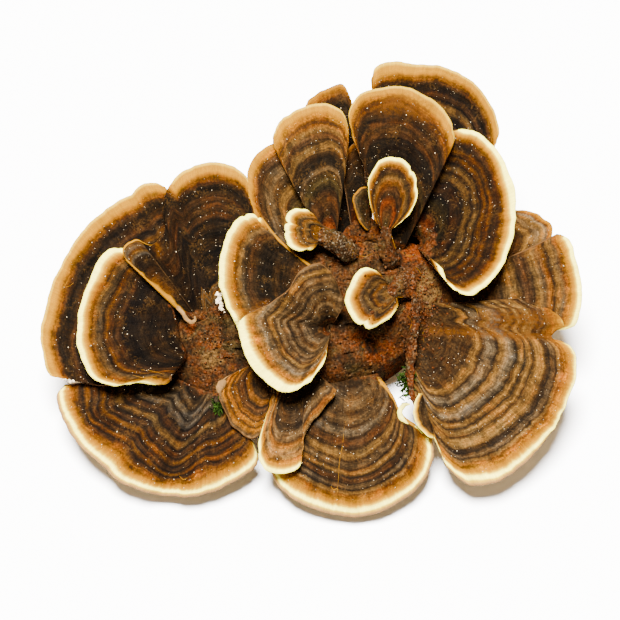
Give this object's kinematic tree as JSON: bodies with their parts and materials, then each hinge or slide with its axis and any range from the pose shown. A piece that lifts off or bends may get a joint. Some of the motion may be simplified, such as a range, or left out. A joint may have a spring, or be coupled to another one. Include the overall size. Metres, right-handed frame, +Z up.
{
  "type": "bracket fungus cluster",
  "caption": "Turkey tail fungus: a rosette cluster of thin, velvety, colour-banded brackets with pale margins on one crusty foot, cut off flat underneath",
  "frame": {"origin": "middle of the flat cut under the foot, where the cluster rests", "axes": "Z up out of the cut; the rosettes' open face looks up and toward -Y; X runs along the cluster's width"},
  "size_m": [0.1202, 0.0921, 0.0543],
  "materials": {
    "crust": "rough, crumbly",
    "bracket_dark": "velvety, banded",
    "bracket_grey": "velvety, banded",
    "bracket_orange": "velvety, banded"
  },
  "bodies": {
    "root": {"foot": "crust", "cap_left_outer": "bracket_dark", "cap_left_top": "bracket_dark", "cap_left_front": "bracket_dark", "cap_left_bottom": "bracket_dark", "cap_left_small": "bracket_orange", "cap_middle_left": "bracket_dark", "cap_middle_tongue": "bracket_grey", "cap_kidney": "bracket_grey", "cap_torn": "bracket_orange", "cap_spoon": "bracket_orange", "cap_upper_left": "bracket_grey", "cap_upper_middle": "bracket_dark", "cap_upper_small": "bracket_dark", "cap_top": "bracket_dark", "cap_right_top": "bracket_dark", "cap_back_small": "bracket_dark", "cap_back": "bracket_dark", "cap_right_back": "bracket_grey", "cap_right_upper": "bracket_orange", "cap_right_lower": "bracket_grey", "cap_bottom": "bracket_dark", "cap_bottom_small": "bracket_dark"}
  },
  "joints": []
}
